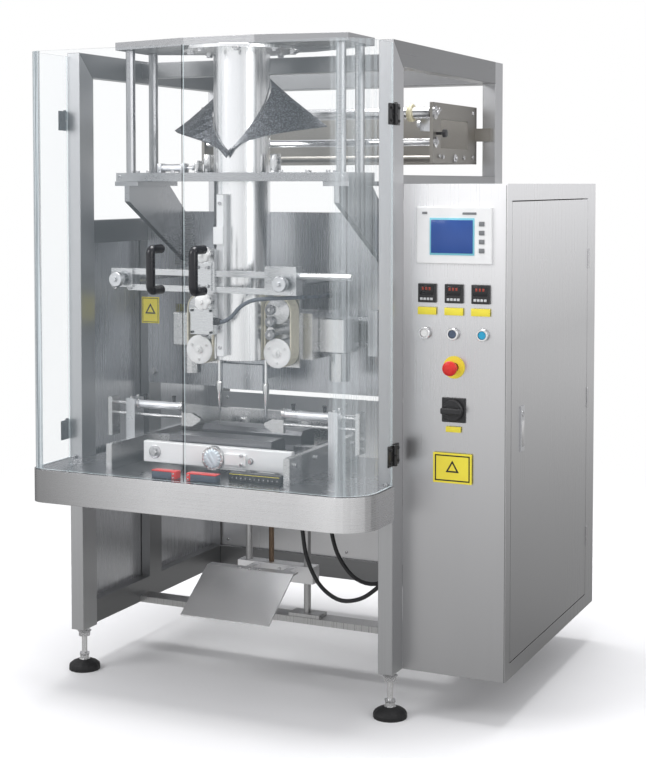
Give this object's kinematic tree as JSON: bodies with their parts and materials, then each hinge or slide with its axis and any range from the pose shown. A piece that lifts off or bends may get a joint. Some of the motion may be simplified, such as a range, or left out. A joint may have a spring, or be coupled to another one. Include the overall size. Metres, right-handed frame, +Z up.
{
  "type": "vertical form fill sealer",
  "caption": "Floor-standing packaging machine: forming collar and tube, belt pullers, back sealer, cross jaws, clear hinged guards, side control cabinet and bag chute",
  "frame": {"origin": "middle of the footprint, on the floor under the feet", "axes": "+X to the machine's right with the control cabinet, +Y to the rear, +Z up; the guard doors face -Y"},
  "size_m": [1.3345, 1.1968, 1.832],
  "materials": {
    "brushed_steel": "grained stainless steel sheet and tube",
    "satin_plate": "ground satin steel plate",
    "chrome": "hard chromed, polished",
    "aluminium": "natural anodised",
    "white_bar": "bright polished bar",
    "jaw_steel": "dark coated steel with a serrated face",
    "embossed_steel": "dark embossed stainless sheet",
    "rack_steel": "dull grey plate",
    "clear_sheet": "clear polycarbonate sheet",
    "belt_cream": "cream friction belt",
    "black_rubber": "black rubber",
    "black_plastic": "black moulded plastic",
    "screen_bezel": "pale moulded bezel with a blue display",
    "button_white": "white cap",
    "button_dark": "dark grey-blue cap",
    "button_blue": "cyan cap",
    "stop_yellow": "yellow ring plate",
    "stop_red": "red mushroom cap",
    "conduit_grey": "grey ribbed conduit"
  },
  "bodies": {
    "machine_body": {"left_side_frame": "brushed_steel", "right_side_frame": "brushed_steel", "rear_frame": "brushed_steel", "left_side_panel": "brushed_steel", "rear_lower_panel": "satin_plate", "back_plate": "satin_plate", "control_cabinet": "brushed_steel", "touch_screen": "screen_bezel", "temperature_controller_1": "black_plastic", "temperature_controller_2": "black_plastic", "temperature_controller_3": "black_plastic", "emergency_stop_plate": "stop_yellow", "main_switch_plate": "black_plastic", "front_table": "brushed_steel", "top_plate": "satin_plate", "mid_plate_stand": "satin_plate", "bracket_left": "satin_plate", "bracket_right": "satin_plate", "forming_tube": "chrome", "forming_collar": "embossed_steel", "sealer_arm": "white_bar", "jaw_frame": "satin_plate", "gusset_cylinder_left": "aluminium", "gusset_cylinder_right": "aluminium", "chute_stand": "satin_plate", "film_rack": "rack_steel", "air_hose_front": "black_rubber", "air_hose_rear": "black_rubber", "sealer_conduit": "conduit_grey", "levelling_foot_front_left": "black_rubber", "levelling_foot_front_right": "black_rubber", "levelling_foot_rear_left": "black_rubber", "levelling_foot_rear_right": "black_rubber"},
    "guard_left": {"guard_door_left": "clear_sheet", "door_handle_left": "black_plastic"},
    "guard_right": {"guard_door_right": "clear_sheet", "door_handle_right": "black_plastic"},
    "cabinet_door": {"cabinet_door": "brushed_steel"},
    "door_latch": {"cabinet_door_latch": "aluminium"},
    "button_white": {"push_button_white": "button_white"},
    "button_dark": {"push_button_dark": "button_dark"},
    "button_blue": {"push_button_blue": "button_blue"},
    "stop_button": {"emergency_stop_button": "stop_red"},
    "switch_knob": {"main_switch_knob": "black_plastic"},
    "belt_carriage_right": {"belt_unit_right": "satin_plate", "belt_right": "belt_cream"},
    "belt_carriage_left": {"belt_unit_left": "satin_plate", "belt_left": "belt_cream"},
    "pulley_right": {"belt_pulley_right": "aluminium"},
    "pulley_left": {"belt_pulley_left": "aluminium"},
    "back_sealer": {"vertical_sealer": "white_bar"},
    "front_jaw": {"jaw_front": "jaw_steel"},
    "rear_jaw": {"jaw_rear": "jaw_steel"},
    "gusset_right": {"gusset_blade_right": "satin_plate"},
    "gusset_left": {"gusset_blade_left": "satin_plate"},
    "chute": {"bag_chute": "satin_plate"},
    "roller_top": {"guide_roller_top": "chrome"},
    "roller_lower": {"guide_roller_lower": "chrome"},
    "film_shaft": {"film_roll_shaft": "brushed_steel"},
    "dancer": {"dancer_arm": "brushed_steel"}
  },
  "joints": [
    {"name": "guard_door_left_hinge", "type": "hinge", "parent": "machine_body", "child": "guard_left", "pos_m": [-0.64975, -0.3455, 1.2], "axis": [0, 0, -1], "range_deg": [0, 115]},
    {"name": "guard_door_right_hinge", "type": "hinge", "parent": "machine_body", "child": "guard_right", "pos_m": [0.38225, -0.3455, 1.2], "axis": [0, 0, 1], "range_deg": [0, 95]},
    {"name": "cabinet_door_hinge", "type": "hinge", "parent": "machine_body", "child": "cabinet_door", "pos_m": [0.66325, 0.511, 0.8], "axis": [0, 0, 1], "range_deg": [0, 110]},
    {"name": "door_latch_hinge", "type": "hinge", "parent": "cabinet_door", "child": "door_latch", "pos_m": [0.66355, -0.1395, 0.837], "axis": [0, -1, 0], "range_deg": [0, 35], "stiffness_Nm_per_rad": 0.05, "springref_deg": -11.46},
    {"name": "button_white_press", "type": "slide", "parent": "machine_body", "child": "button_white", "axis": [0, 1, 0], "range_m": [0, 0.004], "stiffness_N_per_m": 800, "springref_m": -0.002},
    {"name": "button_dark_press", "type": "slide", "parent": "machine_body", "child": "button_dark", "axis": [0, 1, 0], "range_m": [0, 0.004], "stiffness_N_per_m": 800, "springref_m": -0.002},
    {"name": "button_blue_press", "type": "slide", "parent": "machine_body", "child": "button_blue", "axis": [0, 1, 0], "range_m": [0, 0.004], "stiffness_N_per_m": 800, "springref_m": -0.002},
    {"name": "emergency_stop_press", "type": "slide", "parent": "machine_body", "child": "stop_button", "axis": [0, 1, 0], "range_m": [0, 0.005]},
    {"name": "main_switch_turn", "type": "hinge", "parent": "machine_body", "child": "switch_knob", "pos_m": [0.51925, -0.2715, 0.834], "axis": [0, 1, 0], "range_deg": [0, 90]},
    {"name": "belt_carriage_right_slide", "type": "slide", "parent": "machine_body", "child": "belt_carriage_right", "axis": [1, 0, 0], "range_m": [-0.0015, 0.02]},
    {"name": "belt_carriage_left_slide", "type": "slide", "parent": "machine_body", "child": "belt_carriage_left", "axis": [1, 0, 0], "range_m": [-0.02, 0.0015]},
    {"name": "belt_pulley_right_turn", "type": "hinge", "parent": "belt_carriage_right", "child": "pulley_right", "pos_m": [-0.00975, -0.2275, 0.957], "axis": [0, 1, 0], "continuous": true},
    {"name": "belt_pulley_left_turn", "type": "hinge", "parent": "belt_carriage_left", "child": "pulley_left", "pos_m": [-0.25775, -0.2275, 0.957], "axis": [0, 1, 0], "continuous": true},
    {"name": "back_sealer_slide", "type": "slide", "parent": "machine_body", "child": "back_sealer", "axis": [0, 1, 0], "range_m": [0, 0.01]},
    {"name": "jaw_front_slide", "type": "slide", "parent": "machine_body", "child": "front_jaw", "axis": [0, 1, 0], "range_m": [0, 0.049]},
    {"name": "jaw_rear_slide", "type": "slide", "parent": "machine_body", "child": "rear_jaw", "axis": [0, 1, 0], "range_m": [-0.049, 0]},
    {"name": "gusset_right_slide", "type": "slide", "parent": "machine_body", "child": "gusset_right", "axis": [1, 0, 0], "range_m": [-0.04, 0]},
    {"name": "gusset_left_slide", "type": "slide", "parent": "machine_body", "child": "gusset_left", "axis": [1, 0, 0], "range_m": [0, 0.04]},
    {"name": "chute_height_slide", "type": "slide", "parent": "machine_body", "child": "chute", "axis": [0, 0, 1], "range_m": [-0.04, 0.06]},
    {"name": "guide_roller_top_turn", "type": "hinge", "parent": "machine_body", "child": "roller_top", "pos_m": [-0.13375, 0.1125, 1.635], "axis": [1, 0, 0], "continuous": true},
    {"name": "guide_roller_lower_turn", "type": "hinge", "parent": "machine_body", "child": "roller_lower", "pos_m": [-0.13375, 0.1155, 1.55], "axis": [1, 0, 0], "continuous": true},
    {"name": "film_roll_shaft_turn", "type": "hinge", "parent": "machine_body", "child": "film_shaft", "pos_m": [-0.13375, 0.3175, 1], "axis": [1, 0, 0], "continuous": true},
    {"name": "dancer_arm_swing", "type": "hinge", "parent": "machine_body", "child": "dancer", "pos_m": [-0.13375, 0.4375, 1.22], "axis": [1, 0, 0], "range_deg": [-20, 20]}
  ],
  "couplings": [
    {"joint": "belt_carriage_left_slide", "follows": "belt_carriage_right_slide", "ratio": -1},
    {"joint": "belt_pulley_left_turn", "follows": "belt_pulley_right_turn", "ratio": -1},
    {"joint": "jaw_rear_slide", "follows": "jaw_front_slide", "ratio": -1},
    {"joint": "gusset_left_slide", "follows": "gusset_right_slide", "ratio": -1}
  ]
}
